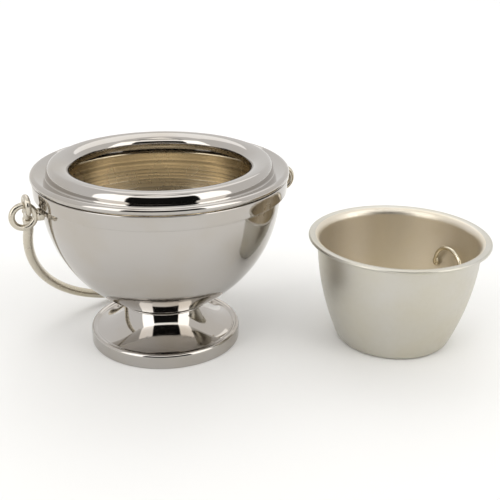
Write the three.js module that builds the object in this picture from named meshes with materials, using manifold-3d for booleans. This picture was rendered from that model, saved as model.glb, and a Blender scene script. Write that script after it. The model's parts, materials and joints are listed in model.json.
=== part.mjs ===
// Footed holy-water pot with a swinging bail and a lift-out liner standing beside it.
// Millimetres, +Z up. The origin is on the floor, under the middle of the pair's box.
import * as THREE from 'three';
import { mergeVertices } from 'three/addons/utils/BufferGeometryUtils.js';
import Module from 'manifold-3d';

const wasm = await Module();
wasm.setup();

// Where the two axes of revolution stand, and how the ears and the loop are turned about them.
const POT_X = -58.3;
const LINER_X = 84.6;
const LINER_Y = 1.5;
const EAR_ANGLE = THREE.MathUtils.degToRad(27.2);
const LOOP_ANGLE = THREE.MathUtils.degToRad(28.5);

// General
const ROUND_SEGMENTS = 40;
const SHEET = 1.5;
const GAP = 0.3;

// Rim: a rolled outer edge, a shallow groove and a half-round bead that narrows the mouth.
const FLANGE_R = 75;
const FLANGE_EDGE_R = 2.15;
const FLANGE_EDGE_Z = 107.35;
const BEAD_FOOT_R = 65.9;
const BEAD_FOOT_Z = 107.2;
const BEAD_CREST_R = 61.8;
const BEAD_CREST_Z = 113.9;
const MOUTH_R = 52.3;
const MOUTH_EDGE_Z = 109.6;
const MOUTH_LIP_Z = 105.8;
const BEAD_OUTSIDE_PULLS = [[65.9, 110.8], [64.6, 113.9]];
const BEAD_INSIDE_PULLS = [[57.6, 113.9], [53.6, 112.8]];
const BEAD_HOLLOW = [
  [53.9, 109.4], [57.6, 111.9], [61.6, 112.2],
  [63.8, 110.4], [64.3, 106.2], [66.6, 105.5],
];
const FLANGE_UNDERSIDE_R = 69.5;

// Collar band between the rim and the bowl
const COLLAR_TOP_R = 74.15;
const COLLAR_BOTTOM_R = 73.9;
const COLLAR_TOP_Z = 104.9;
const COLLAR_BOTTOM_Z = 96.6;
const COLLAR_INNER_R = 72.4;
const COLLAR_LEDGE_R = 70.75;
const COLLAR_LEDGE_Z = 97.65;

// Bowl: one cubic curve from the mouth down to the seat on the foot
const BOWL_TOP = [70.25, 97.05];
const BOWL_BELLY = [69.95, 60.2];
const BOWL_TURN = [47.9, 38.7];
const BOWL_SEAT = [29.2, 27.9];
const BOWL_LIP_R = 71.9;
const BOWL_LIP_Z = 98.0;
const BOWL_LIP_THICK = 1.2;
const BOWL_BOTTOM_Z = 27.0;
const BOWL_BOTTOM_R = 26.5;

// Foot: one spun piece, a trumpet-shaped stem that flares into a disc with an upright edge
const FOOT_R = 46;
const FOOT_EDGE_Z = 6.6;
const FOOT_DISC_R = 41.8;
const FOOT_DISC_Z = 7.9;
const STEM_TOP_R = 23.2;
const STEM_TOP_Z = 24.9;
const FOOT_ROLL = [[46, 8.2], [45, 8.9], [43.9, 8.8]];
const FOOT_GROOVE = [[43.0, 8.5], [42.4, 8.0]];
const FLARE_PULLS = [[34.0, 9.8], [24.5, 18.0]];
const FOOT_INNER_R = 44.4;
const FOOT_INNER_Z = 6.4;

// Seat ring: a flat washer with a small rounded edge that shows between the foot and the bowl
const SEAT_RING_BORE_R = 18;
const SEAT_RING_Z = 25.2;
const SEAT_RING_THICK = 1.5;
const SEAT_RING_EDGE = [
  [26.6, 25.2], [27.3, 25.4], [27.7, 25.75],
  [27.7, 26.2], [27.3, 26.55], [26.6, 26.7],
];

// Tie rod through the foot and bowl
const ROD_R = 3;
const ROD_HOLE_R = 3.4;
const ROD_BOTTOM_Z = 17.4;
const ROD_TOP_Z = 35.6;
const ROD_NUT_FLATS = 10;
const ROD_NUT_HEIGHT = 4;
const FOOT_WASHER_R = 14;
const BOWL_WASHER_R = 12;
const WASHER_THICK = 1.2;

// Ears: a ring on a stout barrel, with a shank and nut through the bowl wall
const EAR_RING_AT = 81.7;
const EAR_Z = 90.95;
const EAR_RING_R = 6.5;
const EAR_WIRE_R = 1.75;
const EAR_BARREL_R = 3.65;
const EAR_BARREL_FROM = 70.8;
const EAR_BARREL_TO = 74.9;
const EAR_SHANK_R = 2;
const EAR_SHANK_FROM = 63.2;
const EAR_HOLE_R = 2.35;
const EAR_HOLE_LENGTH = 14;
const EAR_WASHER_AT = 66.8;
const EAR_WASHER_THICK = 0.8;
const EAR_WASHER_R = 4.4;
const EAR_NUT_FLATS = 7;
const EAR_NUT_HEIGHT = 2.8;

// Bail: measured in its own plane, across (along the hinge axis) and down (away from it)
const HINGE_Z = 97.1;
const BAIL_REST = THREE.MathUtils.degToRad(33.2);
const BAIL_HALF_SPAN = 77.1;
const BAIL_SHOULDER_SPAN = 78.2;
const BAIL_SHOULDER_DOWN = 12.6;
const BAIL_LEG = 24.7;
const BAIL_ARC_DEPTH = 87.6;
const BAIL_R = 2.9;
const BAIL_NECK_R = 1.8;
const EYE_AT = 79.6;
const EYE_RING_R = 4.6;
const EYE_WIRE_R = 1.7;

// Liner: a tapered cup with a rolled rim
const LINER_H = 66.8;
const LINER_RIM_R = 54.8;
const LINER_RIM_THICK = 2.2;
const LINER_WALL_TOP_R = 49.2;
const LINER_WALL_BASE_R = 34.5;
const LINER_WALL_TOP_Z = 64.5;
const LINER_BULGE = 3.47;
const LINER_SHEET = 1.1;
const LINER_CORNER_R = 3.6;
const LINER_FLAT_INSET = 4.2;

// Lift loop: a wire arch brazed to the inside of the liner by two flat pads
const LOOP_AT = 41.1;
const LOOP_R = 12.1;
const LOOP_CENTRE_Z = 37.8;
const LOOP_LEG = 1.8;
const LOOP_WIRE_R = 1.25;
const LOOP_PAD = [2.5, 1.1, 3.2];

// Finishes
const MIRROR_NICKEL = { color: 0xcfc8bb, roughness: 0.08, metalness: 1 };
const SATIN_NICKEL = { color: 0xd8d2bd, roughness: 0.3, metalness: 1 };
const BRIGHT_WIRE = { color: 0xd8d2bd, roughness: 0.2, metalness: 1 };
const TURNED_STEEL = { color: 0x9c9a94, roughness: 0.4, metalness: 1 };

// Shape helpers

function line(...corners) {
  return corners.map(([r, z]) => new THREE.Vector2(r, z));
}

function bezier(from, pull1, pull2, to, steps) {
  const [a, b, c, d] = line(from, pull1, pull2, to);
  return new THREE.CubicBezierCurve(a, b, c, d).getPoints(steps);
}

function arc(r, z, radius, fromDegrees, toDegrees, steps) {
  const [from, to] = [fromDegrees, toDegrees].map(THREE.MathUtils.degToRad);
  const curve = new THREE.EllipseCurve(r, z, radius, radius, from, to, to < from);
  return curve.getPoints(steps);
}

// The same outline moved sideways by a distance, to the left of its direction of travel.
function offset(points, distance) {
  return points.map((point, i) => {
    const before = points[Math.max(i - 1, 0)];
    const after = points[Math.min(i + 1, points.length - 1)];
    const along = after.clone().sub(before).normalize();
    return new THREE.Vector2(point.x - along.y * distance, point.y + along.x * distance);
  });
}

// Turns an outline, drawn anticlockwise in radius and height, about the Z axis.
function turned(outline, segments = ROUND_SEGMENTS) {
  const closed = [...outline, outline[0].clone()];
  return new THREE.LatheGeometry(closed, segments).rotateX(Math.PI / 2);
}

// Turns an outline that starts and ends on the axis.
function turnedSolid(outline, segments) {
  return new THREE.LatheGeometry(outline, segments).rotateX(Math.PI / 2);
}

function washer(bore, radius, thick, segments) {
  return turned(line([bore, 0], [radius, 0], [radius, thick], [bore, thick]), segments);
}

function hexNut(flats, bore, height) {
  const corner = flats / Math.sqrt(3);
  const shape = new THREE.Shape();
  for (let i = 0; i < 6; i += 1) {
    const angle = (i * Math.PI) / 3;
    const [x, y] = [corner * Math.cos(angle), corner * Math.sin(angle)];
    if (i === 0) shape.moveTo(x, y);
    else shape.lineTo(x, y);
  }
  shape.closePath();
  shape.holes.push(new THREE.Path().absarc(0, 0, bore, 0, 2 * Math.PI, true));
  return new THREE.ExtrudeGeometry(shape, { depth: height, bevelEnabled: false, curveSegments: 8 });
}

// A round bar whose middle line is the given curve.
function bar(curve, radius, sides, steps) {
  const section = new THREE.Shape();
  section.absarc(0, 0, radius, 0, 2 * Math.PI, false);
  const options = { extrudePath: curve, steps, curveSegments: sides / 2 };
  return new THREE.ExtrudeGeometry(section, { ...options, bevelEnabled: false });
}

// Joining and cutting

function toSolid(geometry) {
  const bare = geometry.clone();
  bare.deleteAttribute('normal');
  bare.deleteAttribute('uv');
  const merged = mergeVertices(bare, 1e-4);
  const vertProperties = new Float32Array(merged.attributes.position.array);
  const corners = merged.index.array;
  const triVerts = [];
  for (let i = 0; i < corners.length; i += 3) {
    const [a, b, c] = corners.slice(i, i + 3);
    if (a !== b && b !== c && c !== a) triVerts.push(a, b, c);
  }
  const mesh = new wasm.Mesh({ numProp: 3, vertProperties, triVerts: new Uint32Array(triVerts) });
  return new wasm.Manifold(mesh);
}

function toGeometry(solid) {
  const mesh = solid.getMesh();
  const geometry = new THREE.BufferGeometry();
  geometry.setAttribute('position', new THREE.BufferAttribute(mesh.vertProperties, 3));
  geometry.setIndex(new THREE.BufferAttribute(mesh.triVerts, 1));
  geometry.computeVertexNormals();
  return geometry;
}

function joined(...geometries) {
  const [first, ...rest] = geometries.map(toSolid);
  return toGeometry(rest.reduce((whole, piece) => whole.add(piece), first));
}

function cut(geometry, ...tools) {
  return toGeometry(tools.map(toSolid).reduce((whole, tool) => whole.subtract(tool), toSolid(geometry)));
}

// Places

const group = new THREE.Group();

function place(name, geometry, parent, finish) {
  const mesh = new THREE.Mesh(geometry, new THREE.MeshStandardMaterial(finish));
  mesh.name = name;
  parent.add(mesh);
  return mesh;
}

const pot = new THREE.Group();
pot.position.set(POT_X, 0, 0);
group.add(pot);

const liner = new THREE.Group();
liner.position.set(LINER_X, LINER_Y, 0);
group.add(liner);

// Rim and collar

function rimFlange() {
  const edgeR = FLANGE_R - FLANGE_EDGE_R;
  const underside = FLANGE_EDGE_Z - FLANGE_EDGE_R;
  const edge = arc(edgeR, FLANGE_EDGE_Z, FLANGE_EDGE_R, -90, 105, 6);
  const crest = [BEAD_CREST_R, BEAD_CREST_Z];
  const outside = bezier([BEAD_FOOT_R, BEAD_FOOT_Z], ...BEAD_OUTSIDE_PULLS, crest, 5);
  const inside = bezier(crest, ...BEAD_INSIDE_PULLS, [MOUTH_R, MOUTH_EDGE_Z], 5);
  const lip = line([MOUTH_R, MOUTH_LIP_Z], [MOUTH_R + SHEET, MOUTH_LIP_Z]);
  return turned([
    ...edge,
    ...line([BEAD_FOOT_R + 1, BEAD_FOOT_Z + 0.1]),
    ...outside,
    ...inside.slice(1),
    ...lip,
    ...line(...BEAD_HOLLOW, [FLANGE_UNDERSIDE_R, underside]),
  ]);
}

function collarBand() {
  return turned(line(
    [COLLAR_LEDGE_R, COLLAR_BOTTOM_Z],
    [COLLAR_BOTTOM_R - 0.6, COLLAR_BOTTOM_Z],
    [COLLAR_BOTTOM_R - 0.15, COLLAR_BOTTOM_Z + 0.2],
    [COLLAR_BOTTOM_R, COLLAR_BOTTOM_Z + 0.7],
    [COLLAR_TOP_R, COLLAR_TOP_Z],
    [COLLAR_INNER_R, COLLAR_TOP_Z],
    [COLLAR_INNER_R, COLLAR_LEDGE_Z],
    [COLLAR_LEDGE_R, COLLAR_LEDGE_Z],
  ));
}

// Bowl

function bowl() {
  const wall = bezier(BOWL_SEAT, BOWL_TURN, BOWL_BELLY, BOWL_TOP, 9);
  const inside = offset(wall, SHEET).reverse();
  const lipTop = BOWL_LIP_Z + BOWL_LIP_THICK;
  const shell = turned([
    ...line([ROD_HOLE_R, BOWL_BOTTOM_Z], [BOWL_BOTTOM_R, BOWL_BOTTOM_Z]),
    ...wall,
    ...line(
      [BOWL_TOP[0], BOWL_LIP_Z],
      [BOWL_LIP_R, BOWL_LIP_Z],
      [BOWL_LIP_R, lipTop],
      [BOWL_TOP[0] - 0.7, lipTop],
      [BOWL_TOP[0] - SHEET, BOWL_LIP_Z + 0.4],
    ),
    ...inside,
    ...line([BOWL_BOTTOM_R - 0.6, BOWL_BOTTOM_Z + SHEET], [ROD_HOLE_R, BOWL_BOTTOM_Z + SHEET]),
  ]);
  const holes = [0, Math.PI].map((turn) => earHole(EAR_ANGLE + turn));
  return cut(shell, ...holes);
}

function earHole(angle) {
  const hole = new THREE.CylinderGeometry(EAR_HOLE_R, EAR_HOLE_R, EAR_HOLE_LENGTH, 12);
  hole.rotateZ(Math.PI / 2);
  hole.translate(BOWL_TOP[0], 0, EAR_Z);
  return hole.rotateZ(angle);
}

// Foot and what clamps it to the bowl

function seatRing() {
  const top = SEAT_RING_Z + SEAT_RING_THICK;
  return turned(line(
    [SEAT_RING_BORE_R, SEAT_RING_Z],
    ...SEAT_RING_EDGE,
    [SEAT_RING_BORE_R, top],
  ));
}

function foot() {
  const edge = line([FOOT_R - 0.3, 0], [FOOT_R, 0.4], [FOOT_R, FOOT_EDGE_Z]);
  const roll = bezier([FOOT_R, FOOT_EDGE_Z], ...FOOT_ROLL, 3).slice(1);
  const groove = line(...FOOT_GROOVE);
  const stemTop = [STEM_TOP_R, STEM_TOP_Z - 0.5];
  const stem = bezier([FOOT_DISC_R, FOOT_DISC_Z], ...FLARE_PULLS, stemTop, 8);
  const inside = offset(stem, SHEET).reverse();
  return turned([
    ...edge,
    ...roll,
    ...groove,
    ...stem,
    ...line(
      [STEM_TOP_R - 0.3, STEM_TOP_Z],
      [ROD_HOLE_R, STEM_TOP_Z],
      [ROD_HOLE_R, STEM_TOP_Z - SHEET],
      [STEM_TOP_R - SHEET - 0.4, STEM_TOP_Z - SHEET],
    ),
    ...inside.slice(1),
    ...line([FOOT_INNER_R, FOOT_INNER_Z], [FOOT_INNER_R, 0]),
  ]);
}

function tieRod() {
  const outline = line(
    [0, ROD_BOTTOM_Z], [ROD_R - 0.5, ROD_BOTTOM_Z], [ROD_R, ROD_BOTTOM_Z + 0.5],
    [ROD_R, ROD_TOP_Z - 0.5], [ROD_R - 0.5, ROD_TOP_Z], [0, ROD_TOP_Z],
  );
  return turnedSolid(outline, 20);
}

// Ears. Each is drawn along +X of a group that is turned to its side of the bowl.

function ear() {
  const outline = line(
    [0, EAR_SHANK_FROM], [EAR_SHANK_R - 0.4, EAR_SHANK_FROM], [EAR_SHANK_R, EAR_SHANK_FROM + 0.4],
    [EAR_SHANK_R, EAR_BARREL_FROM], [EAR_BARREL_R - 0.4, EAR_BARREL_FROM],
    [EAR_BARREL_R, EAR_BARREL_FROM + 0.5], [EAR_BARREL_R, EAR_BARREL_TO - 1.2],
    [EAR_BARREL_R - 1.0, EAR_BARREL_TO], [0, EAR_BARREL_TO],
  );
  const barrel = turnedSolid(outline, 16).rotateY(Math.PI / 2);
  const ring = new THREE.TorusGeometry(EAR_RING_R, EAR_WIRE_R, 8, 24).rotateX(Math.PI / 2);
  ring.translate(EAR_RING_AT, 0, 0);
  return joined(barrel, ring);
}

function earSide(side, turn) {
  const mount = new THREE.Group();
  mount.position.z = EAR_Z;
  mount.rotation.z = EAR_ANGLE + turn;
  pot.add(mount);
  place(`ear_${side}`, ear(), mount, SATIN_NICKEL);
  const earWasher = washer(EAR_HOLE_R, EAR_WASHER_R, EAR_WASHER_THICK, 16).rotateY(Math.PI / 2);
  place(`ear_washer_${side}`, earWasher, mount, TURNED_STEEL).position.x = EAR_WASHER_AT;
  const nut = hexNut(EAR_NUT_FLATS, EAR_HOLE_R, EAR_NUT_HEIGHT).rotateY(Math.PI / 2);
  place(`ear_nut_${side}`, nut, mount, TURNED_STEEL).position.x = EAR_WASHER_AT - GAP - EAR_NUT_HEIGHT;
}

// Bail, in its own plane: X across, Y down from the hinge axis.

function bailPath() {
  const points = [];
  const legPoint = (side, down) => {
    const share = (BAIL_LEG - down) / (BAIL_LEG - BAIL_SHOULDER_DOWN);
    const splay = (BAIL_SHOULDER_SPAN - BAIL_HALF_SPAN) * share;
    return new THREE.Vector3(side * (BAIL_HALF_SPAN + splay), down, 0);
  };
  const legStops = [BAIL_SHOULDER_DOWN, (BAIL_SHOULDER_DOWN + BAIL_LEG) / 2];
  legStops.forEach((down) => points.push(legPoint(-1, down)));
  const arcSteps = 16;
  for (let i = 0; i <= arcSteps; i += 1) {
    const angle = (i * Math.PI) / arcSteps;
    const across = -BAIL_HALF_SPAN * Math.cos(angle);
    points.push(new THREE.Vector3(across, BAIL_LEG + BAIL_ARC_DEPTH * Math.sin(angle), 0));
  }
  legStops.reverse().forEach((down) => points.push(legPoint(1, down)));
  return new THREE.CatmullRomCurve3(points);
}

function bailEnd(side) {
  const eye = new THREE.TorusGeometry(EYE_RING_R, EYE_WIRE_R, 8, 20).rotateY(Math.PI / 2);
  eye.translate(side * EYE_AT, 0, 0);
  const from = new THREE.Vector3(side * EYE_AT, EYE_RING_R + 0.4, 0);
  const to = new THREE.Vector3(side * (BAIL_SHOULDER_SPAN + 0.1), BAIL_SHOULDER_DOWN + 1.5, 0);
  const neck = new THREE.CylinderGeometry(BAIL_NECK_R, BAIL_NECK_R, from.distanceTo(to), 10);
  const along = to.clone().sub(from).normalize();
  neck.applyQuaternion(new THREE.Quaternion().setFromUnitVectors(new THREE.Vector3(0, 1, 0), along));
  const middle = from.add(to).multiplyScalar(0.5);
  neck.translate(middle.x, middle.y, middle.z);
  return [eye, neck];
}

function bail() {
  const rod = bar(bailPath(), BAIL_R, 10, 44);
  return joined(rod, ...bailEnd(-1), ...bailEnd(1));
}

function hangBail(mesh) {
  const across = new THREE.Vector3(Math.cos(EAR_ANGLE), Math.sin(EAR_ANGLE), 0);
  const back = new THREE.Vector3(-Math.sin(EAR_ANGLE), Math.cos(EAR_ANGLE), 0);
  const drop = new THREE.Vector3(0, 0, -Math.cos(BAIL_REST));
  const down = back.multiplyScalar(Math.sin(BAIL_REST)).add(drop);
  const normal = new THREE.Vector3().crossVectors(across, down);
  const basis = new THREE.Matrix4().makeBasis(across, down, normal);
  mesh.quaternion.setFromRotationMatrix(basis);
  mesh.position.z = HINGE_Z;
}

// Liner and its lift loop

function linerRadius(z) {
  const up = z / LINER_WALL_TOP_Z;
  const taper = LINER_WALL_BASE_R + (LINER_WALL_TOP_R - LINER_WALL_BASE_R) * up;
  return taper + LINER_BULGE * 4 * up * (1 - up);
}

function linerWall(steps) {
  const points = [];
  for (let i = 0; i <= steps; i += 1) {
    const z = LINER_CORNER_R + ((LINER_WALL_TOP_Z - LINER_CORNER_R) * i) / steps;
    points.push(new THREE.Vector2(linerRadius(z), z));
  }
  return points;
}

function linerCup() {
  const wall = linerWall(6);
  const cornerR = linerRadius(LINER_CORNER_R);
  const corner = bezier(
    [cornerR - LINER_FLAT_INSET, 0], [cornerR - 1.6, 0],
    [cornerR - 0.9, 1.4], [cornerR, LINER_CORNER_R], 3,
  ).slice(0, -1);
  const outside = [...corner, ...wall];
  const inside = offset(outside, LINER_SHEET).reverse();
  const rimR = LINER_RIM_THICK / 2;
  const rimEdge = arc(LINER_RIM_R - rimR, LINER_H - rimR, rimR, -90, 90, 4);
  return turnedSolid([
    ...line([0, 0]),
    ...outside,
    ...rimEdge,
    ...line([LINER_WALL_TOP_R + 0.9, LINER_H], [LINER_WALL_TOP_R - 0.5, LINER_H - 0.7]),
    ...inside.slice(0, -1),
    ...line([cornerR - LINER_FLAT_INSET - 0.2, LINER_SHEET], [0, LINER_SHEET]),
  ], ROUND_SEGMENTS);
}

// The arch stands across the loop's own X axis, with Y pointing out to the wall.
function liftLoop() {
  const points = [new THREE.Vector3(-LOOP_R, 0, -LOOP_LEG)];
  const steps = 10;
  for (let i = 0; i <= steps; i += 1) {
    const angle = Math.PI - (i * Math.PI) / steps;
    points.push(new THREE.Vector3(LOOP_R * Math.cos(angle), 0, LOOP_R * Math.sin(angle)));
  }
  points.push(new THREE.Vector3(LOOP_R, 0, -LOOP_LEG));
  const wire = bar(new THREE.CatmullRomCurve3(points), LOOP_WIRE_R, 8, 20);
  const pads = [-1, 1].map((side) => {
    const pad = new THREE.SphereGeometry(1, 10, 6).rotateX(Math.PI / 2).scale(...LOOP_PAD);
    return pad.translate(side * LOOP_R, 0.5, -0.6);
  });
  return joined(wire, ...pads);
}

// Assembly

place('rim_flange', rimFlange(), pot, MIRROR_NICKEL);
place('collar_band', collarBand(), pot, MIRROR_NICKEL);
place('bowl', bowl(), pot, MIRROR_NICKEL);
place('seat_ring', seatRing(), pot, MIRROR_NICKEL);
place('foot', foot(), pot, MIRROR_NICKEL);

place('tie_rod', tieRod(), pot, TURNED_STEEL);
const footWasher = washer(ROD_HOLE_R, FOOT_WASHER_R, WASHER_THICK, 24);
const footWasherZ = STEM_TOP_Z - SHEET - GAP - WASHER_THICK;
place('foot_washer', footWasher, pot, TURNED_STEEL).position.z = footWasherZ;
const rodNut = hexNut(ROD_NUT_FLATS, ROD_HOLE_R, ROD_NUT_HEIGHT);
place('foot_nut', rodNut, pot, TURNED_STEEL).position.z = footWasherZ - GAP - ROD_NUT_HEIGHT;
const bowlWasher = washer(ROD_HOLE_R, BOWL_WASHER_R, WASHER_THICK, 24);
const bowlWasherZ = BOWL_BOTTOM_Z + SHEET + GAP;
place('bowl_washer', bowlWasher, pot, TURNED_STEEL).position.z = bowlWasherZ;
place('bowl_nut', rodNut.clone(), pot, TURNED_STEEL).position.z = bowlWasherZ + WASHER_THICK + GAP;

earSide('left', Math.PI);
earSide('right', 0);
hangBail(place('bail', bail(), pot, SATIN_NICKEL));

place('liner_cup', linerCup(), liner, SATIN_NICKEL);
const loop = place('liner_lift_loop', liftLoop(), liner, BRIGHT_WIRE);
loop.position.set(LOOP_AT * Math.cos(LOOP_ANGLE), LOOP_AT * Math.sin(LOOP_ANGLE), LOOP_CENTRE_Z);
loop.rotation.z = LOOP_ANGLE - Math.PI / 2;

export default group;
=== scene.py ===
"""Looks for a footed, nickel-plated holy water pot with a bail and a satin liner beside it.

Metres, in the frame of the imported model: +X from the pot to the liner, +Z up. Lengths written in
millimetres are those of a pot with a 150 mm rim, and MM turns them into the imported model's size.
"""
import json
import math

import bmesh
import bpy
import numpy as np
from mathutils import Matrix, Vector


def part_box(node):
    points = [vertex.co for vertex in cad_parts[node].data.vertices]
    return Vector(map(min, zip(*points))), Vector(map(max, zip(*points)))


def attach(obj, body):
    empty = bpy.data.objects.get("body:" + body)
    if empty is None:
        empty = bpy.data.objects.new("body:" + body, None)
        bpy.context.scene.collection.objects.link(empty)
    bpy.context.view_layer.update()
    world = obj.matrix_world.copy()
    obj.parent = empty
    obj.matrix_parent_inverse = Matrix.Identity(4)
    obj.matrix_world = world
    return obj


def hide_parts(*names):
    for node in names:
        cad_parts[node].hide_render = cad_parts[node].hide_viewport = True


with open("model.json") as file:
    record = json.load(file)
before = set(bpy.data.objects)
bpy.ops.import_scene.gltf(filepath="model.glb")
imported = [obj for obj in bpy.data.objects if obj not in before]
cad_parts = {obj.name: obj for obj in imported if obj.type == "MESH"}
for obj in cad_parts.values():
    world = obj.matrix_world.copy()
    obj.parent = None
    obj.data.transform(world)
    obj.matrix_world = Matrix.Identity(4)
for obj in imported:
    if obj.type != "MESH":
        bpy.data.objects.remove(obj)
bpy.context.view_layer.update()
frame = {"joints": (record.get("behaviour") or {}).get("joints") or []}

# Places, from the frame


def centre_of(node):
    low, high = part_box(node)
    return (low + high) / 2


RIM_LOW, RIM_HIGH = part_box("rim_flange")
MM = (RIM_HIGH.x - RIM_LOW.x) / 150.0
POT_AXIS = Vector((centre_of("rim_flange").x, centre_of("rim_flange").y, 0.0))
LINER_AXIS = Vector((centre_of("liner_cup").x, centre_of("liner_cup").y, 0.0))
JOINTS = {joint["name"]: joint for joint in frame["joints"]}
HINGE = JOINTS["bail_swing"]
HINGE_AXIS = Vector(HINGE["axis"]).normalized()
EAR_ANGLE = math.atan2(HINGE_AXIS.y, HINGE_AXIS.x)
HINGE_Z = HINGE["pos_m"][2] / MM
LOOP_CENTRE = centre_of("liner_lift_loop")
LOOP_OUT = LOOP_CENTRE - LINER_AXIS
LOOP_ANGLE = math.atan2(LOOP_OUT.y, LOOP_OUT.x)

# Driving dimensions, in millimetres

SEGMENTS = 256
SHEET = 1.5

FLANGE_R = 75.0
FLANGE_EDGE_R = 2.15
FLANGE_EDGE_Z = 107.35
BEAD_FOOT = (65.9, 107.2)
BEAD_CREST = (61.8, 113.9)
BEAD_OUTSIDE_PULLS = ((65.9, 110.8), (64.6, 113.9))
BEAD_INSIDE_PULLS = ((57.6, 113.9), (53.6, 112.8))
MOUTH_EDGE = (52.3, 109.6)
MOUTH_LIP_Z = 105.8
BEAD_HOLLOW = (
    (53.9, 109.4), (57.6, 111.9), (61.6, 112.2),
    (63.8, 110.4), (64.3, 106.2), (66.6, 105.5),
)
FLANGE_UNDERSIDE_R = 69.5

COLLAR_TOP = (74.15, 104.9)
COLLAR_BOTTOM = (73.9, 96.6)
COLLAR_INNER_R = 72.4
COLLAR_LEDGE = (70.75, 97.65)

BOWL_CURVE = ((29.2, 27.9), (47.9, 38.7), (69.95, 60.2), (70.25, 97.05))
BOWL_LIP = (71.9, 98.0)
BOWL_LIP_TOP = 99.2
BOWL_BOTTOM = (26.5, 27.0)

SEAT_EDGE = ((26.6, 25.2), (27.3, 25.4), (27.7, 25.75), (27.7, 26.2), (27.3, 26.55), (26.6, 26.7))
SEAT_BORE_R = 18.0

FOOT_R = 46.0
FOOT_EDGE_Z = 6.6
FOOT_ROLL = ((46.0, 6.6), (46.0, 8.2), (45.0, 8.9), (43.9, 8.8))
FOOT_GROOVE = ((43.0, 8.5), (42.4, 8.0))
FOOT_FLARE = ((41.8, 7.9), (34.0, 9.8), (24.5, 18.0), (23.2, 24.4))
FOOT_TOP_Z = 24.9
FOOT_INNER = (44.4, 6.4)
INNER_POINTS_ABOVE_PLATE = 8

ROD_R = 3.0
BORE_R = 3.4
ROD_PITCH = 0.8
THREAD_DEPTH = 0.25
NUT_BORE_R = 3.15
ROD_NUT_FLATS = 10.0
ROD_NUT_HEIGHT = 4.0
WASHER_THICK = 1.2
FOOT_WASHER_R = 14.0
BOWL_WASHER_R = 12.0

EAR_RING_AT = 81.7
EAR_RING_R = 6.5
EAR_WIRE_R = 1.75
EAR_BARREL_R = 3.65
EAR_BARREL_FROM = 70.8
EAR_BARREL_TO = 74.9
EAR_SHANK_R = 2.0
EAR_SHANK_FROM = 63.2
EAR_HOLE_R = 2.35
EAR_WASHER_AT = 66.8
EAR_WASHER_R = 4.4
EAR_WASHER_THICK = 0.8
EAR_NUT_AT = 63.7
EAR_NUT_FLATS = 7.0
EAR_NUT_HEIGHT = 2.8
EAR_NUT_PLAY = 0.12

BAIL_REST = math.radians(33.2)
BAIL_HALF_SPAN = 77.1
BAIL_SHOULDER = (78.2, 12.6)
BAIL_LEG = 24.7
BAIL_ARC_DEPTH = 87.6
BAIL_R = 2.9
BAIL_NECK_R = 1.8
DOME_TIP_R = 2e-5  # metres, so that the first ring of a domed end isn't a point
EYE_AT = 79.6
EYE_RING_R = 4.6
EYE_WIRE_R = 1.7

LINER_H = 66.8
LINER_RIM_R = 54.8
LINER_RIM_THICK = 2.2
LINER_WALL_TOP_R = 49.2
LINER_WALL_BASE_R = 34.5
LINER_WALL_TOP_Z = 64.5
LINER_BULGE = 3.47
LINER_SHEET = 1.1
LINER_CORNER = 3.6
LINER_FLAT_INSET = 4.2

LOOP_R = 12.1
LOOP_CENTRE_Z = 37.8
LOOP_AT = 41.1
LOOP_LEG = 1.8
LOOP_WIRE_R = 1.25
LOOP_PAD = (2.5, 1.1, 3.2)

# Outlines, as lists of (radius, height) in millimetres


def bezier(controls, steps):
    a, b, c, d = (Vector(p) for p in controls)
    points = []
    for i in range(steps + 1):
        t = i / steps
        s = 1 - t
        points.append(tuple(a * s**3 + b * 3 * s * s * t + c * 3 * s * t * t + d * t**3))
    return points


def arc(centre, radius, start, end, steps):
    angles = [math.radians(start + (end - start) * i / steps) for i in range(steps + 1)]
    return [(centre[0] + radius * math.cos(a), centre[1] + radius * math.sin(a)) for a in angles]


def offset(points, distance):
    """The outline moved sideways, to the left of its direction of travel."""
    moved = []
    for i, point in enumerate(points):
        before = Vector(points[max(i - 1, 0)])
        after = Vector(points[min(i + 1, len(points) - 1)])
        along = (after - before).normalized()
        moved.append((point[0] - along.y * distance, point[1] + along.x * distance))
    return moved


def rounded(points, radius, steps=4):
    """The outline with each inner corner turned into a short curve."""
    result = [points[0]]
    for before, corner, after in zip(points, points[1:], points[2:]):
        b, c, a = Vector(before), Vector(corner), Vector(after)
        reach = min(radius, (b - c).length / 2, (a - c).length / 2)
        start = c + (b - c).normalized() * reach
        end = c + (a - c).normalized() * reach
        for i in range(steps + 1):
            t = i / steps
            result.append(tuple(start * (1 - t) ** 2 + c * 2 * t * (1 - t) + end * t * t))
    result.append(points[-1])
    return result


# Meshes


def new_object(name, bm, materials, location=(0, 0, 0), sharp_degrees=50):
    bmesh.ops.remove_doubles(bm, verts=bm.verts, dist=1e-7)
    bmesh.ops.recalc_face_normals(bm, faces=bm.faces)
    mesh = bpy.data.meshes.new(name)
    bm.to_mesh(mesh)
    bm.free()
    for material in materials:
        mesh.materials.append(material)
    mesh.shade_smooth()
    mesh.set_sharp_from_angle(angle=math.radians(sharp_degrees))
    piece = bpy.data.objects.new(name, mesh)
    bpy.context.scene.collection.objects.link(piece)
    piece.location = location
    return piece


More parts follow.
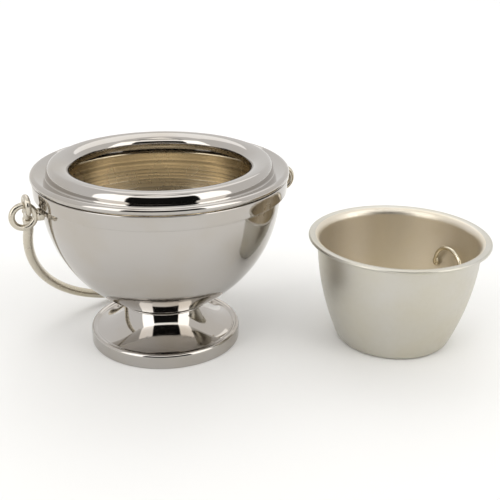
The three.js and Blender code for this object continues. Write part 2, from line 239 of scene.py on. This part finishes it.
def lathe(outlines, segments=SEGMENTS, closed=True):
    """Turns outlines, one after the other round the section, each with its own material number."""
    bm = bmesh.new()
    points, numbers = [], []
    for outline, number in outlines:
        for point in outline:
            if points and (Vector(point) - Vector(points[-1])).length < 1e-5:
                continue
            points.append(point)
            numbers.append(number)
    if closed and (Vector(points[0]) - Vector(points[-1])).length < 1e-5:
        points.pop()
        numbers.pop()
    rings = []
    for r, z in points:
        if r < 1e-6:
            rings.append([bm.verts.new((0, 0, z * MM))] * segments)
            continue
        ring = []
        for i in range(segments):
            angle = 2 * math.pi * i / segments
            ring.append(bm.verts.new((r * MM * math.cos(angle), r * MM * math.sin(angle), z * MM)))
        rings.append(ring)
    count = len(rings)
    for k in range(count if closed else count - 1):
        here, there = rings[k], rings[(k + 1) % count]
        for i in range(segments):
            j = (i + 1) % segments
            corners = []
            for vert in (here[i], here[j], there[j], there[i]):
                if vert not in corners:
                    corners.append(vert)
            if len(corners) > 2:
                bm.faces.new(corners).material_index = numbers[(k + 1) % count]
    return bm


def sweep(points, radii, sides=32, closed=False):
    """A round bar along a line of points, in metres, with flat caps on its ends where it is open.
    """
    bm = bmesh.new()
    count = len(points)
    centres = [Vector(p) for p in points]
    rings = []
    side = None
    for i, centre in enumerate(centres):
        before = centres[(i - 1) % count] if closed else centres[max(i - 1, 0)]
        after = centres[(i + 1) % count] if closed else centres[min(i + 1, count - 1)]
        along = (after - before).normalized()
        if side is None:
            side = along.orthogonal().normalized()
        side = (side - along * side.dot(along)).normalized()
        up = along.cross(side)
        ring = []
        for k in range(sides):
            angle = 2 * math.pi * k / sides
            out = side * math.cos(angle) + up * math.sin(angle)
            ring.append(bm.verts.new(centre + out * radii[i]))
        rings.append(ring)
    for i in range(count if closed else count - 1):
        here, there = rings[i], rings[(i + 1) % count]
        for k in range(sides):
            j = (k + 1) % sides
            bm.faces.new((here[k], here[j], there[j], there[k]))
    if not closed:
        bm.faces.new(list(reversed(rings[0])))
        bm.faces.new(rings[-1])
    return bm


def circle(centre, across, along, radius, steps):
    angles = [2 * math.pi * i / steps for i in range(steps)]
    return [centre + (across * math.cos(a) + along * math.sin(a)) * radius for a in angles]


def united(piece, *others):
    """Joins solids into one closed mesh and removes the tools."""
    return combined(piece, others, "UNION")


def combined(piece, others, operation):
    bpy.context.view_layer.update()
    for other in others:
        modifier = piece.modifiers.new("join", "BOOLEAN")
        modifier.object = other
        modifier.operation = operation
        modifier.solver = "EXACT"
    graph = bpy.context.evaluated_depsgraph_get()
    mesh = bpy.data.meshes.new_from_object(piece.evaluated_get(graph))
    piece.modifiers.clear()
    old = piece.data
    piece.data = mesh
    bpy.data.meshes.remove(old)
    for other in others:
        bpy.data.objects.remove(other)
    mesh.shade_smooth()
    mesh.set_sharp_from_angle(angle=math.radians(40))
    return piece


def settle(piece, place):
    """Puts a piece in its place with the turn in its mesh, so that its own box is upright."""
    piece.data.transform(place.to_3x3().to_4x4())
    piece.location = place.translation


def belongs(piece, body, slot, *nodes):
    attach(piece, body)
    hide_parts(*nodes)
    return piece


# Materials


class Nodes:
    """A short way to write a node tree."""

    def __init__(self, name):
        self.material = bpy.data.materials.new(name)
        self.material.use_nodes = True
        self.tree = self.material.node_tree
        self.shader = self.tree.nodes["Principled BSDF"]
        self.place = self.add("ShaderNodeTexCoord").outputs["Object"]

    def add(self, kind, settings=(), **inputs):
        node = self.tree.nodes.new(kind)
        for key, value in dict(settings).items():
            setattr(node, key, value)
        for key, value in inputs.items():
            self.feed(node.inputs[key.replace("_", " ")], value)
        return node

    def feed(self, socket, value):
        if isinstance(value, bpy.types.NodeSocket):
            self.tree.links.new(value, socket)
        else:
            socket.default_value = value

    def math(self, operation, a, b=0.0):
        node = self.add("ShaderNodeMath", {"operation": operation})
        self.feed(node.inputs[0], a)
        self.feed(node.inputs[1], b)
        return node.outputs[0]

    def noise(self, scale, detail=4.0, stretch=(1, 1, 1)):
        mapped = self.add("ShaderNodeMapping", Vector=self.place, Scale=stretch).outputs[0]
        noise = self.add("ShaderNodeTexNoise", Vector=mapped, Scale=scale, Detail=detail)
        return noise.outputs["Fac"]

    def spread(self, value, low, high, from_low=0.3, from_high=0.7):
        node = self.add("ShaderNodeMapRange", Value=value)
        node.inputs["From Min"].default_value = from_low
        node.inputs["From Max"].default_value = from_high
        node.inputs["To Min"].default_value = low
        node.inputs["To Max"].default_value = high
        return node.outputs[0]

    def mix(self, share, a, b):
        node = self.add("ShaderNodeMix", {"data_type": "RGBA"})
        self.feed(node.inputs["Factor"], share)
        self.feed(node.inputs[6], a)
        self.feed(node.inputs[7], b)
        return node.outputs[2]

    def bump(self, height, strength, distance, under=None):
        node = self.add("ShaderNodeBump", Height=height, Strength=strength, Distance=distance)
        if under is not None:
            self.feed(node.inputs["Normal"], under)
        return node.outputs[0]

    def rings(self, per_metre):
        """Turning lines: bands along the section that run true round the axis."""
        parts = self.add("ShaderNodeSeparateXYZ", Vector=self.place)
        x, y, z = parts.outputs
        squares = self.math("ADD", self.math("MULTIPLY", x, x), self.math("MULTIPLY", y, y))
        along = self.math("ADD", z, self.math("MULTIPLY", self.math("SQRT", squares), 0.7))
        lines = {"noise_dimensions": "1D"}
        noise = self.add("ShaderNodeTexNoise", lines, W=along, Scale=per_metre, Detail=1.0)
        return noise.outputs["Fac"]


def rgba(red, green, blue):
    return (red, green, blue, 1.0)


def mirror_nickel(name, tint, rough, ring_strength):
    """Bright plate: almost a mirror, with polishing lines, faint clouding and fine scratches."""
    n = Nodes(name)
    cloud = n.noise(28.0)
    fine = n.noise(420.0, 2.0)
    warm = tuple(c * f for c, f in zip(tint, (0.96, 0.93, 0.88)))
    colour = n.mix(n.spread(cloud, 0.0, 1.0, 0.42, 0.68), rgba(*tint), rgba(*warm))
    n.feed(n.shader.inputs["Base Color"], colour)
    n.shader.inputs["Metallic"].default_value = 1.0
    smudge = n.math("ADD", n.spread(cloud, 0.0, 0.03), n.spread(fine, 0.0, 0.015))
    n.feed(n.shader.inputs["Roughness"], n.math("ADD", smudge, rough))
    lines = n.bump(n.rings(1500.0), ring_strength, 0.0002)
    scratch = n.noise(900.0, 2.0, (1.0, 0.16, 0.4))
    n.feed(n.shader.inputs["Normal"], n.bump(scratch, ring_strength * 0.6, 0.0001, lines))
    return n.material


def turned_inside(name, tint, rough):
    """The inside of the bowl: plated straight over the cuts of the turning tool."""
    n = Nodes(name)
    rings = n.rings(520.0)
    colour = n.mix(n.spread(rings, 0.0, 1.0), rgba(*tint), rgba(*[c * 0.66 for c in tint]))
    n.feed(n.shader.inputs["Base Color"], colour)
    n.shader.inputs["Metallic"].default_value = 1.0
    n.feed(n.shader.inputs["Roughness"], n.spread(n.noise(60.0), rough - 0.05, rough + 0.08))
    n.feed(n.shader.inputs["Normal"], n.bump(rings, 0.35, 0.0003))
    return n.material


def satin(name, tint, rough, ring_strength):
    """Matt plate with a fine grain, a little cloudy and slightly yellow in places."""
    n = Nodes(name)
    cloud = n.noise(22.0, 5.0)
    yellow = tuple(c * f for c, f in zip(tint, (0.97, 0.94, 0.84)))
    colour = n.mix(n.spread(cloud, 0.0, 1.0), rgba(*tint), rgba(*yellow))
    n.feed(n.shader.inputs["Base Color"], colour)
    n.shader.inputs["Metallic"].default_value = 1.0
    n.feed(n.shader.inputs["Roughness"], n.spread(n.noise(350.0, 3.0), rough - 0.04, rough + 0.05))
    grain = n.bump(n.noise(2600.0, 3.0), 0.12, 0.0001)
    n.feed(n.shader.inputs["Normal"], n.bump(n.rings(1300.0), ring_strength, 0.0003, grain))
    return n.material


def turned_steel(name):
    n = Nodes(name)
    spots = n.noise(180.0, 4.0)
    colour = n.mix(spots, rgba(0.42, 0.41, 0.39), rgba(0.55, 0.54, 0.52))
    n.feed(n.shader.inputs["Base Color"], colour)
    n.shader.inputs["Metallic"].default_value = 1.0
    n.feed(n.shader.inputs["Roughness"], n.spread(spots, 0.25, 0.42))
    n.feed(n.shader.inputs["Normal"], n.bump(n.rings(2400.0), 0.25, 0.0002))
    return n.material


NICKEL_TINT = (0.480, 0.458, 0.434)
MIRROR = mirror_nickel("mirror_nickel", NICKEL_TINT, 0.03, 0.03)
BOWL_OUTSIDE = mirror_nickel("bowl_outside", NICKEL_TINT, 0.05, 0.04)
BOWL_INSIDE = turned_inside("bowl_inside", (0.74, 0.63, 0.45), 0.24)
SATIN = satin("satin_nickel", (0.60, 0.56, 0.49), 0.24, 0.02)
LINER_OUTSIDE = satin("liner_outside", (0.60, 0.585, 0.545), 0.36, 0.06)
LINER_INSIDE = satin("liner_inside", (0.76, 0.71, 0.63), 0.40, 0.2)
WIRE = satin("bright_wire", (0.72, 0.67, 0.56), 0.14, 0.0)
STEEL = turned_steel("turned_steel")

# Pot


def build_rim():
    edge_centre = (FLANGE_R - FLANGE_EDGE_R, FLANGE_EDGE_Z)
    underside = FLANGE_EDGE_Z - FLANGE_EDGE_R
    inside = bezier((BEAD_CREST, *BEAD_INSIDE_PULLS, MOUTH_EDGE), 40)
    mouth_r = MOUTH_EDGE[0]
    lip_corners = [(mouth_r, MOUTH_LIP_Z), (mouth_r + SHEET, MOUTH_LIP_Z)]
    lip = rounded([MOUTH_EDGE, *lip_corners, BEAD_HOLLOW[0]], 0.4)
    outline = [
        *arc(edge_centre, FLANGE_EDGE_R, -90, 105, 40),
        *rounded([(72.0, 109.4), (BEAD_FOOT[0] + 0.4, 107.25), (BEAD_FOOT[0], 107.9)], 0.35)[1:-1],
        *bezier((BEAD_FOOT, *BEAD_OUTSIDE_PULLS, BEAD_CREST), 40)[4:],
        *inside[1:],
        *lip[1:-1],
        *rounded([*BEAD_HOLLOW, (FLANGE_UNDERSIDE_R, underside)], 1.2),
    ]
    piece = new_object("rim", lathe([(outline, 0)]), [MIRROR], POT_AXIS)
    return belongs(piece, "pot", "polished_nickel", "rim_flange")


def build_collar():
    outline = rounded([
        (COLLAR_LEDGE[0] + 0.8, COLLAR_BOTTOM[1]),
        COLLAR_BOTTOM,
        COLLAR_TOP,
        (COLLAR_INNER_R, COLLAR_TOP[1]),
        (COLLAR_INNER_R, COLLAR_LEDGE[1]),
        COLLAR_LEDGE,
        (COLLAR_LEDGE[0], COLLAR_BOTTOM[1]),
        (COLLAR_LEDGE[0] + 0.8, COLLAR_BOTTOM[1]),
    ], 0.6)
    piece = new_object("collar", lathe([(outline, 0)]), [MIRROR], POT_AXIS)
    return belongs(piece, "pot", "polished_nickel", "collar_band")


def build_bowl():
    wall = bezier(BOWL_CURVE, 90)
    outside = [(BORE_R, BOWL_BOTTOM[1]), BOWL_BOTTOM, *wall]
    top_r = BOWL_CURVE[-1][0]
    lip = rounded([
        wall[-1],
        (top_r, BOWL_LIP[1]),
        BOWL_LIP,
        (BOWL_LIP[0], BOWL_LIP_TOP),
        (top_r - 0.7, BOWL_LIP_TOP),
        (top_r - SHEET, BOWL_LIP[1] + 0.4),
    ], 0.4)
    inside = [
        *reversed(offset(wall, SHEET)),
        (BOWL_BOTTOM[0] - 0.6, BOWL_BOTTOM[1] + SHEET),
        (BORE_R, BOWL_BOTTOM[1] + SHEET),
    ]
    bm = lathe([(outside, 0), (lip[1:], 0), (inside, 1)])
    piece = new_object("bowl_shell", bm, [BOWL_OUTSIDE, BOWL_INSIDE], POT_AXIS)
    return belongs(piece, "pot", "bowl_nickel", "bowl")


def build_seat():
    bottom, top = SEAT_EDGE[0][1], SEAT_EDGE[-1][1]
    bore = [(SEAT_BORE_R, top), (SEAT_BORE_R, bottom)]
    outline = rounded([bore[1], *SEAT_EDGE, *bore], 0.3)
    piece = new_object("seat", lathe([(outline, 0)]), [MIRROR], POT_AXIS)
    return belongs(piece, "pot", "polished_nickel", "seat_ring")


def build_foot():
    stem = bezier(FOOT_FLARE, 90)
    inner = list(reversed(offset(stem, SHEET)))[INNER_POINTS_ABOVE_PLATE:]
    top_r = stem[-1][0]
    top = rounded([
        stem[-1],
        (top_r - 0.3, FOOT_TOP_Z),
        (BORE_R, FOOT_TOP_Z),
        (BORE_R, FOOT_TOP_Z - SHEET),
        (top_r - SHEET - 0.4, FOOT_TOP_Z - SHEET),
        inner[0],
    ], 0.4)
    foot_edge = rounded([
        (FOOT_INNER[0], 0.0),
        (FOOT_R - 0.1, 0.0),
        (FOOT_R, 0.4),
        (FOOT_R, FOOT_EDGE_Z),
    ], 0.4)
    groove = rounded([FOOT_ROLL[-1], *FOOT_GROOVE, FOOT_FLARE[0], stem[3]], 0.35)
    outline = [
        *foot_edge,
        *bezier(FOOT_ROLL, 20)[1:],
        *groove[1:-1],
        *stem[4:],
        *top[1:-1],
        *inner,
        *rounded([inner[-1], FOOT_INNER, (FOOT_INNER[0], 0.0)], 0.6)[1:],
    ]
    piece = new_object("foot_spun", lathe([(outline, 0)]), [MIRROR], POT_AXIS)
    return belongs(piece, "pot", "polished_nickel", "foot")


# Hardware that clamps the foot and the ears


def build_washer(name, bore, radius, thick):
    outline = rounded([
        (bore, 0.0), (radius, 0.0), (radius, thick), (bore, thick), (bore, 0.0),
    ], 0.25)
    return new_object(name, lathe([(outline, 0)], 96), [STEEL])


def build_nut(name, flats, bore, height):
    """A hexagon with its corners turned off to thirty degrees at both ends."""
    bm = bmesh.new()
    steps = 96
    apothem = flats / 2
    rings = [[] for _ in range(6)]
    for i in range(steps):
        angle = 2 * math.pi * i / steps
        corner = math.radians((math.degrees(angle) % 60) - 30)
        outer = apothem / math.cos(corner)
        drop = (outer - apothem * 0.96) * math.tan(math.radians(30))
        levels = (
            (bore, 0.0), (apothem * 0.96, 0.0), (outer, drop),
            (outer, height - drop), (apothem * 0.96, height), (bore, height),
        )
        for ring, (r, z) in zip(rings, levels):
            ring.append(bm.verts.new((r * MM * math.cos(angle), r * MM * math.sin(angle), z * MM)))
    for k in range(6):
        here, there = rings[k], rings[(k + 1) % 6]
        for i in range(steps):
            j = (i + 1) % steps
            bm.faces.new((here[i], here[j], there[j], there[i]))
    return new_object(name, bm, [STEEL], sharp_degrees=25)


def build_rod():
    """A rod with a real screw thread, one start, along its whole length."""
    bm = bmesh.new()
    low, high = (v.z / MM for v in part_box("tie_rod"))
    around, per_turn = 48, 8
    count = int((high - low) / ROD_PITCH * per_turn)
    rings = []
    for k in range(count + 1):
        z = low + (high - low) * k / count
        ease = min(1.0, (z - low) / ROD_PITCH, (high - z) / ROD_PITCH)
        ring = []
        for i in range(around):
            angle = 2 * math.pi * i / around
            phase = (z / ROD_PITCH - i / around) % 1.0
            depth = abs(phase * 2 - 1) * THREAD_DEPTH
            r = ROD_R - (depth * ease + (1 - ease) * THREAD_DEPTH * 1.6)
            ring.append(bm.verts.new((r * MM * math.cos(angle), r * MM * math.sin(angle), z * MM)))
        rings.append(ring)
    for here, there in zip(rings, rings[1:]):
        for i in range(around):
            j = (i + 1) % around
            bm.faces.new((here[i], here[j], there[j], there[i]))
    bm.faces.new(list(reversed(rings[0])))
    bm.faces.new(rings[-1])
    piece = new_object("rod_threaded", bm, [STEEL], POT_AXIS, sharp_degrees=70)
    return belongs(piece, "pot", "hardware_steel", "tie_rod")


def build_clamp_hardware():
    for node, radius in (("foot_washer", FOOT_WASHER_R), ("bowl_washer", BOWL_WASHER_R)):
        piece = build_washer(node + "_turned", BORE_R, radius, WASHER_THICK)
        piece.location = POT_AXIS + Vector((0, 0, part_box(node)[0].z))
        belongs(piece, "pot", "hardware_steel", node)
    for node in ("foot_nut", "bowl_nut"):
        piece = build_nut(node + "_hex", ROD_NUT_FLATS, NUT_BORE_R, ROD_NUT_HEIGHT)
        piece.location = POT_AXIS + Vector((0, 0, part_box(node)[0].z))
        belongs(piece, "pot", "hardware_steel", node)


# Ears


def ear_frame(turn):
    """X out from the pot's axis through the ear, Z up, at the ears' height."""
    middle = POT_AXIS + Vector((0, 0, centre_of("ear_left").z))
    return Matrix.Translation(middle) @ Matrix.Rotation(EAR_ANGLE + turn, 4, "Z")


def build_ear(side, turn):
    outline = rounded([
        (0.0, EAR_SHANK_FROM),
        (EAR_SHANK_R, EAR_SHANK_FROM),
        (EAR_SHANK_R, EAR_BARREL_FROM),
        (EAR_BARREL_R, EAR_BARREL_FROM),
        (EAR_BARREL_R, EAR_BARREL_TO - 1.1),
        (EAR_BARREL_R - 1.0, EAR_BARREL_TO),
        (0.0, EAR_BARREL_TO),
    ], 0.5)
    barrel = lathe([(outline, 0)], 64, closed=False)
    piece = new_object(f"ear_{side}_barrel", barrel, [SATIN])
    piece.data.transform(Matrix.Rotation(math.pi / 2, 4, "Y"))
    centre = Vector((EAR_RING_AT * MM, 0, 0))
    points = circle(centre, Vector((1, 0, 0)), Vector((0, 0, 1)), EAR_RING_R * MM, 96)
    wire = sweep(points, [EAR_WIRE_R * MM] * len(points), 32, closed=True)
    ring = new_object("ring_tool", wire, [SATIN])
    united(piece, ring)
    settle(piece, ear_frame(turn))
    belongs(piece, "pot", "satin_nickel", f"ear_{side}")
    for node, build, out in (
        ("ear_washer", ear_washer, EAR_WASHER_AT),
        ("ear_nut", ear_nut, EAR_NUT_AT),
    ):
        hardware = build(f"{node}_{side}_fine")
        on_its_side = Matrix.Rotation(math.pi / 2, 4, "Y")
        hardware.matrix_world = ear_frame(turn) @ Matrix.Translation((out * MM, 0, 0)) @ on_its_side
        belongs(hardware, "pot", "hardware_steel", f"{node}_{side}")


def ear_washer(name):
    return build_washer(name, EAR_HOLE_R, EAR_WASHER_R, EAR_WASHER_THICK)


def ear_nut(name):
    return build_nut(name, EAR_NUT_FLATS, EAR_SHANK_R + EAR_NUT_PLAY, EAR_NUT_HEIGHT)


# Bail


def bail_frame():
    """X along the hinge axis, Y down the bail's own plane, origin over the middle of the pot."""
    across = HINGE_AXIS
    back = Vector((-across.y, across.x, 0))
    down = back * math.sin(BAIL_REST) + Vector((0, 0, -math.cos(BAIL_REST)))
    normal = across.cross(down)
    turn = Matrix((across, down, normal)).transposed().to_4x4()
    return Matrix.Translation(Vector(HINGE["pos_m"])) @ turn


def bail_line():
    shoulder_r, shoulder_down = BAIL_SHOULDER
    left = []
    for i in range(12):
        down = shoulder_down + (BAIL_LEG - shoulder_down) * i / 12
        share = (BAIL_LEG - down) / (BAIL_LEG - shoulder_down)
        left.append((BAIL_HALF_SPAN + (shoulder_r - BAIL_HALF_SPAN) * share * share, down))
    points = [Vector((-across * MM, down * MM, 0)) for across, down in left]
    steps = 160
    for i in range(steps + 1):
        angle = math.pi * i / steps
        across = -BAIL_HALF_SPAN * math.cos(angle)
        points.append(Vector((across * MM, (BAIL_LEG + BAIL_ARC_DEPTH * math.sin(angle)) * MM, 0)))
    points += [Vector((across * MM, down * MM, 0)) for across, down in reversed(left)]
    return points


def build_bail():
    points = bail_line()
    first, last = points[0], points[-1]
    head, tail, dome_radii = [], [], []
    dome = 8
    for i in range(dome):
        angle = math.pi / 2 * i / dome
        lift = math.cos(angle) * 0.9
        head.append(first + Vector((0, -lift * BAIL_R * MM, 0)))
        tail.append(last + Vector((0, -lift * BAIL_R * MM, 0)))
        dome_radii.append(math.sin(angle) * BAIL_R * MM + DOME_TIP_R)
    line = [*head, *points, *reversed(tail)]
    radii = [*dome_radii, *[BAIL_R * MM] * len(points), *reversed(dome_radii)]
    piece = new_object("bail_bar", sweep(line, radii, 36), [SATIN])
    tools = []
    for side in (-1, 1):
        centre = Vector((side * EYE_AT * MM, 0, 0))
        eye = circle(centre, Vector((0, 1, 0)), Vector((0, 0, 1)), EYE_RING_R * MM, 72)
        ring = sweep(eye, [EYE_WIRE_R * MM] * len(eye), 28, closed=True)
        tools.append(new_object("eye_tool", ring, [SATIN]))
        start = Vector((side * EYE_AT, EYE_RING_R + 0.2, 0)) * MM
        end = Vector((side * (BAIL_SHOULDER[0] + 0.1), BAIL_SHOULDER[1] + 1.5, 0)) * MM
        neck = [start.lerp(end, i / 12) for i in range(13)]
        radii = [(BAIL_NECK_R + 0.35 * abs(i / 6 - 1) ** 3) * MM for i in range(13)]
        tools.append(new_object("neck_tool", sweep(neck, radii, 28), [SATIN]))
    united(piece, *tools)
    settle(piece, bail_frame())
    return belongs(piece, "bail", "satin_nickel", "bail")


# Liner


def liner_radius(z):
    up = z / LINER_WALL_TOP_Z
    taper = LINER_WALL_BASE_R + (LINER_WALL_TOP_R - LINER_WALL_BASE_R) * up
    return taper + LINER_BULGE * 4 * up * (1 - up)


def build_liner():
    corner_r = liner_radius(LINER_CORNER)
    corner = bezier((
        (corner_r - LINER_FLAT_INSET, 0.0),
        (corner_r - 1.6, 0.0),
        (corner_r - 0.9, 1.4),
        (corner_r, LINER_CORNER),
    ), 16)
    heights = np.linspace(LINER_CORNER, LINER_WALL_TOP_Z, 60)
    wall = [(liner_radius(z), z) for z in heights[1:]]
    outside = [*corner, *wall]
    rim_r = LINER_RIM_THICK / 2
    rim = arc((LINER_RIM_R - rim_r, LINER_H - rim_r), rim_r, -90, 90, 24)
    flare = rounded([wall[-2], wall[-1], rim[0], rim[1]], 0.8)[1:-1]
    inner_top = bezier((
        rim[-1], (LINER_WALL_TOP_R + 2.2, LINER_H), (LINER_WALL_TOP_R - 0.2, LINER_H - 0.2),
        offset(outside, LINER_SHEET)[-3],
    ), 16)
    inside = list(reversed(offset(outside, LINER_SHEET)))[3:]
    bottom = [(corner_r - LINER_FLAT_INSET - 0.2, LINER_SHEET), (0.0, LINER_SHEET)]
    bm = lathe([
        ([(0.0, 0.0)], 0),
        (outside[:-1], 0),
        (flare, 0),
        (rim[1:], 0),
        (inner_top[1:8], 0),
        (inner_top[8:], 1),
        (inside, 1),
        (bottom, 1),
    ], closed=False)
    piece = new_object("liner_shell", bm, [LINER_OUTSIDE, LINER_INSIDE], LINER_AXIS)
    return belongs(piece, "liner", "liner_satin", "liner_cup")


def build_loop():
    """A wire arch across the loop's own X axis, with Y pointing out to the wall."""
    steps = 64
    points = [Vector((-LOOP_R * MM, 0, -LOOP_LEG * (1 - i / 6) * MM)) for i in range(6)]
    for i in range(steps + 1):
        angle = math.pi - math.pi * i / steps
        points.append(Vector((LOOP_R * math.cos(angle), 0, LOOP_R * math.sin(angle))) * MM)
    points += [Vector((LOOP_R * MM, 0, -LOOP_LEG * (i + 1) / 6 * MM)) for i in range(6)]
    wire = sweep(points, [LOOP_WIRE_R * MM] * len(points), 28)
    piece = new_object("lift_loop_wire", wire, [WIRE])
    tools = []
    for side in (-1, 1):
        bm = bmesh.new()
        bmesh.ops.create_uvsphere(bm, u_segments=40, v_segments=24, radius=MM)
        bmesh.ops.scale(bm, verts=bm.verts, vec=LOOP_PAD)
        bmesh.ops.translate(bm, verts=bm.verts, vec=Vector((side * LOOP_R, 0.5, -0.6)) * MM)
        tools.append(new_object("pad_tool", bm, [WIRE]))
    united(piece, *tools)
    out = Vector((math.cos(LOOP_ANGLE), math.sin(LOOP_ANGLE), 0)) * LOOP_AT * MM
    at = LINER_AXIS + out + Vector((0, 0, LOOP_CENTRE_Z * MM))
    piece.matrix_world = Matrix.Translation(at) @ Matrix.Rotation(LOOP_ANGLE - math.pi / 2, 4, "Z")
    return belongs(piece, "liner", "loop_wire", "liner_lift_loop")


build_rim()
build_collar()
build_bowl()
build_seat()
build_foot()
build_rod()
build_clamp_hardware()
build_ear("left", math.pi)
build_ear("right", 0.0)
build_bail()
build_liner()
build_loop()

# Floor, light and camera

CAMERA_AT = Vector((-0.00701, -0.48022, 0.25534))
CAMERA_PITCH = math.radians(23.149)
CAMERA_ROLL = math.radians(0.509)
CAMERA_LENS = 61.58
CAMERA_SENSOR = 36.0
CAMERA_SHIFT = (0.0045, 0.0204)


def build_floor():
    bm = bmesh.new()
    bmesh.ops.create_circle(bm, cap_ends=True, segments=96, radius=6.0)
    n = Nodes("pale_floor")
    n.shader.inputs["Base Color"].default_value = rgba(0.93, 0.93, 0.92)
    n.shader.inputs["Roughness"].default_value = 0.9
    floor = new_object("floor", bm, [n.material], (0, 0, -0.0002))


def softstep(n, value, low, high):
    node = n.nodes.new("ShaderNodeMapRange")
    node.interpolation_type = "SMOOTHSTEP"
    n.links.new(value, node.inputs["Value"])
    node.inputs["From Min"].default_value = low
    node.inputs["From Max"].default_value = high
    return node.outputs[0]


GAP_MIDDLE = math.radians(6.9)
GAP_HALF = math.radians(36.2)
GAP_TOP = math.radians(41)
EDGE = math.radians(1.2)
SEAM_UP = math.radians(66)
SEAM_HALF = math.radians(5)
SEAM_REACH = math.radians(50)
BOX_FAR = math.radians(70)
BOX_LOW = math.radians(2)
BOX_HIGH = math.radians(55)
TENT_LIGHT = 0.92
BOX_LIGHT = 1.5
TOP_LIGHT = 0.8
GAP_LIGHT = 0.01


def build_world():
    """A white tent with a dark gap in front, bright panels round the gap and a seam overhead."""
    world = bpy.data.worlds.new("tent")
    bpy.context.scene.world = world
    world.use_nodes = True
    tree = world.node_tree
    background = tree.nodes["Background"]

    def maths(operation, a, b=0.0):
        node = tree.nodes.new("ShaderNodeMath")
        node.operation = operation
        for socket, value in zip(node.inputs, (a, b)):
            if isinstance(value, bpy.types.NodeSocket):
                tree.links.new(value, socket)
            else:
                socket.default_value = value
        return node.outputs[0]

    coordinates = tree.nodes.new("ShaderNodeTexCoord")
    parts = tree.nodes.new("ShaderNodeSeparateXYZ")
    tree.links.new(coordinates.outputs["Generated"], parts.inputs[0])
    x, y, z = parts.outputs
    azimuth = maths("ARCTAN2", x, maths("MULTIPLY", y, -1.0))
    elevation = maths("ARCSINE", z)
    across = maths("ABSOLUTE", maths("SUBTRACT", azimuth, GAP_MIDDLE))
    beside = softstep(tree, across, GAP_HALF - EDGE, GAP_HALF + EDGE)
    above = softstep(tree, elevation, GAP_TOP - EDGE, GAP_TOP + EDGE)
    gap = maths("MAXIMUM", beside, above)
    seam_at = maths("ABSOLUTE", maths("SUBTRACT", elevation, SEAM_UP))
    seam = softstep(tree, seam_at, SEAM_HALF * 0.5, SEAM_HALF)
    seam = maths("MAXIMUM", seam, softstep(tree, across, SEAM_REACH - EDGE, SEAM_REACH + EDGE))
    open_light = maths("MULTIPLY", gap, seam)
    outside_box = softstep(tree, across, BOX_FAR - EDGE, BOX_FAR + EDGE)
    box = maths("MULTIPLY", beside, maths("SUBTRACT", 1.0, outside_box))
    low = softstep(tree, elevation, BOX_LOW - EDGE, BOX_LOW + EDGE)
    high = maths("SUBTRACT", 1.0, softstep(tree, elevation, BOX_HIGH - EDGE, BOX_HIGH + EDGE))
    box = maths("MULTIPLY", box, maths("MULTIPLY", low, high))
    over_gap = maths("MULTIPLY", above, maths("SUBTRACT", 1.0, beside))
    top_panel = maths("MULTIPLY", maths("MULTIPLY", over_gap, seam), TOP_LIGHT)
    tent = maths("MULTIPLY", open_light, TENT_LIGHT)
    level = maths("ADD", maths("ADD", tent, maths("MULTIPLY", box, BOX_LIGHT)), top_panel)
    strength = maths("ADD", level, GAP_LIGHT)
    background.inputs["Color"].default_value = rgba(1.0, 0.99, 0.975)
    tree.links.new(strength, background.inputs["Strength"])


def build_light():
    light = bpy.data.lights.new("back_top", "AREA")
    light.shape = "SQUARE"
    light.size = 1.2
    light.energy = 3.0
    lamp = bpy.data.objects.new("back_top", light)
    bpy.context.scene.collection.objects.link(lamp)
    lamp.location = (0.0, 0.9, 1.3)
    lamp.rotation_euler = (-lamp.location).to_track_quat("-Z", "Y").to_euler()


def build_camera():
    data = bpy.data.cameras.new("camera")
    data.lens = CAMERA_LENS
    data.sensor_width = CAMERA_SENSOR
    data.shift_x, data.shift_y = CAMERA_SHIFT
    data.clip_start = 0.01
    camera = bpy.data.objects.new("camera", data)
    bpy.context.scene.collection.objects.link(camera)
    right = Vector((1, 0, 0))
    forward = Vector((0, math.cos(CAMERA_PITCH), -math.sin(CAMERA_PITCH)))
    up = Vector((0, math.sin(CAMERA_PITCH), math.cos(CAMERA_PITCH)))
    x_axis = right * math.cos(CAMERA_ROLL) + up * math.sin(CAMERA_ROLL)
    y_axis = up * math.cos(CAMERA_ROLL) - right * math.sin(CAMERA_ROLL)
    turn = Matrix((x_axis, y_axis, -forward)).transposed().to_4x4()
    camera.matrix_world = Matrix.Translation(CAMERA_AT) @ turn
    bpy.context.scene.camera = camera


build_floor()
build_world()
build_light()
build_camera()
bpy.context.scene.view_settings.view_transform = "Standard"
